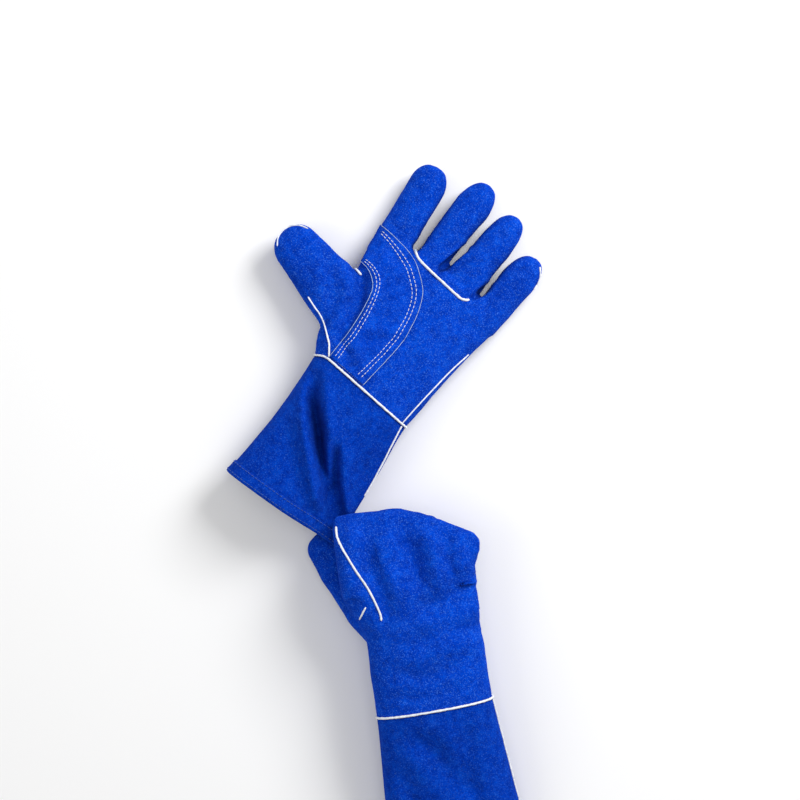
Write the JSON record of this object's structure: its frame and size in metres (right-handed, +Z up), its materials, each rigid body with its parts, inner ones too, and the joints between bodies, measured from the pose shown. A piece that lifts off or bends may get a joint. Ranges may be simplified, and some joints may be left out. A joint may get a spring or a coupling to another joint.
{
  "type": "pair of welding gloves",
  "caption": "Pair of blue suede welding gauntlets: one open and palm up, the other gripping its cuff corner, with welted seams and fingers and wrists that bend.",
  "frame": {"origin": "on the resting surface, under the centre of the pair's overall box", "axes": "+Z up, +Y along the open left glove from cuff to fingertips, +X towards the side of its little finger"},
  "size_m": [0.513, 0.5702, 0.0794],
  "materials": {
    "blue_suede": "bright cobalt-blue split cowhide suede, mottled nap",
    "blue_suede_patch": "the same suede, raw cut edges, double stitched",
    "white_welt": "thin white welt leather with frayed edges",
    "cotton_lining": "brushed off-white cotton fleece",
    "canvas_lining": "plain-woven natural canvas"
  },
  "bodies": {
    "left_cuff": {"left_cuff_front": "blue_suede", "left_cuff_back": "blue_suede", "left_cuff_lining": "canvas_lining", "left_cuff_hem": "blue_suede", "left_cuff_welt": "white_welt"},
    "left_hand": {"left_palm_leather": "blue_suede", "left_back_leather": "blue_suede", "left_palm_patch": "blue_suede_patch", "left_hand_lining": "cotton_lining", "left_hand_welts": "white_welt", "left_finger_gussets": "blue_suede", "left_finger_flex_zones": "blue_suede", "left_wrist_welt": "white_welt", "left_wrist_flex": "blue_suede"},
    "left_index": {"left_index_front": "blue_suede", "left_index_back": "blue_suede", "left_index_lining": "cotton_lining"},
    "left_middle": {"left_middle_front": "blue_suede", "left_middle_back": "blue_suede", "left_middle_lining": "cotton_lining"},
    "left_ring": {"left_ring_front": "blue_suede", "left_ring_back": "blue_suede", "left_ring_lining": "cotton_lining"},
    "left_little": {"left_little_front": "blue_suede", "left_little_back": "blue_suede", "left_little_lining": "cotton_lining"},
    "left_thumb": {"left_thumb_front": "blue_suede", "left_thumb_back": "blue_suede", "left_thumb_lining": "cotton_lining"},
    "right_cuff": {"right_cuff_front": "blue_suede", "right_cuff_back": "blue_suede", "right_cuff_lining": "canvas_lining", "right_cuff_hem": "blue_suede", "right_cuff_welt": "white_welt"},
    "right_hand": {"right_palm_leather": "blue_suede", "right_back_leather": "blue_suede", "right_palm_patch": "blue_suede_patch", "right_hand_lining": "cotton_lining", "right_hand_welts": "white_welt", "right_finger_gussets": "blue_suede", "right_finger_flex_zones": "blue_suede", "right_wrist_welt": "white_welt", "right_wrist_flex": "blue_suede"},
    "right_index": {"right_index_front": "blue_suede", "right_index_back": "blue_suede", "right_index_lining": "cotton_lining"},
    "right_middle": {"right_middle_front": "blue_suede", "right_middle_back": "blue_suede", "right_middle_lining": "cotton_lining"},
    "right_ring": {"right_ring_front": "blue_suede", "right_ring_back": "blue_suede", "right_ring_lining": "cotton_lining"},
    "right_little": {"right_little_front": "blue_suede", "right_little_back": "blue_suede", "right_little_lining": "cotton_lining"},
    "right_thumb": {"right_thumb_front": "blue_suede", "right_thumb_back": "blue_suede", "right_thumb_lining": "cotton_lining"}
  },
  "joints": [
    {"name": "left_wrist_bend", "type": "hinge", "parent": "left_cuff", "child": "left_hand", "pos_m": [-0.10915, 0.03685, 0.0287], "axis": [1, 0, 0], "range_deg": [0, 35], "deforming": ["left_wrist_flex"]},
    {"name": "left_index_curl", "type": "hinge", "parent": "left_hand", "child": "left_index", "pos_m": [-0.16505, 0.20283, 0.0187], "axis": [0.9969, 0.0785, 0], "range_deg": [-10, 60], "deforming": ["left_finger_flex_zones"]},
    {"name": "left_middle_curl", "type": "hinge", "parent": "left_hand", "child": "left_middle", "pos_m": [-0.12676, 0.20282, 0.0187], "axis": [0.9962, -0.0872, 0], "range_deg": [-10, 60], "deforming": ["left_finger_flex_zones"]},
    {"name": "left_ring_curl", "type": "hinge", "parent": "left_hand", "child": "left_ring", "pos_m": [-0.08801, 0.20281, 0.0187], "axis": [0.9945, -0.1045, 0], "range_deg": [-10, 60], "deforming": ["left_finger_flex_zones"]},
    {"name": "left_little_curl", "type": "hinge", "parent": "left_hand", "child": "left_little", "pos_m": [-0.049, 0.20278, 0.0187], "axis": [0.9919, -0.1271, 0], "range_deg": [-10, 60], "deforming": ["left_finger_flex_zones"]},
    {"name": "left_thumb_curl", "type": "hinge", "parent": "left_hand", "child": "left_thumb", "pos_m": [-0.18987, 0.12089, 0.0257], "axis": [0.309, 0.9511, 0], "range_deg": [-10, 40], "deforming": ["left_finger_flex_zones"]},
    {"name": "right_glove_release", "type": "slide", "parent": "left_cuff", "child": "right_hand", "axis": [0.7071, -0.7071, 0], "range_m": [0, 0.15]},
    {"name": "right_wrist_bend", "type": "hinge", "parent": "right_hand", "child": "right_cuff", "pos_m": [0.12948, -0.15807, 0.0507], "axis": [-0.7071, -0.7071, 0], "range_deg": [0, 30], "deforming": ["right_wrist_flex"]},
    {"name": "right_index_open", "type": "hinge", "parent": "right_hand", "child": "right_index", "pos_m": [-0.02693, -0.07973, 0.0607], "axis": [0.7071, 0.7071, 0], "range_deg": [0, 40], "deforming": ["right_finger_flex_zones"]},
    {"name": "right_middle_open", "type": "hinge", "parent": "right_hand", "child": "right_middle", "pos_m": [-0.00091, -0.05371, 0.0607], "axis": [0.7071, 0.7071, 0], "range_deg": [0, 40], "deforming": ["right_finger_flex_zones"]},
    {"name": "right_ring_open", "type": "hinge", "parent": "right_hand", "child": "right_ring", "pos_m": [0.02638, -0.02641, 0.0607], "axis": [0.7071, 0.7071, 0], "range_deg": [0, 40], "deforming": ["right_finger_flex_zones"]},
    {"name": "right_little_open", "type": "hinge", "parent": "right_hand", "child": "right_little", "pos_m": [0.05382, 0.00103, 0.0607], "axis": [0.7071, 0.7071, 0], "range_deg": [0, 40], "deforming": ["right_finger_flex_zones"]},
    {"name": "right_thumb_open", "type": "hinge", "parent": "right_hand", "child": "right_thumb", "pos_m": [0.00173, -0.12019, 0.02518], "axis": [-0.5807, -0.8141, 0], "range_deg": [0, 20], "deforming": ["right_finger_flex_zones"]}
  ]
}
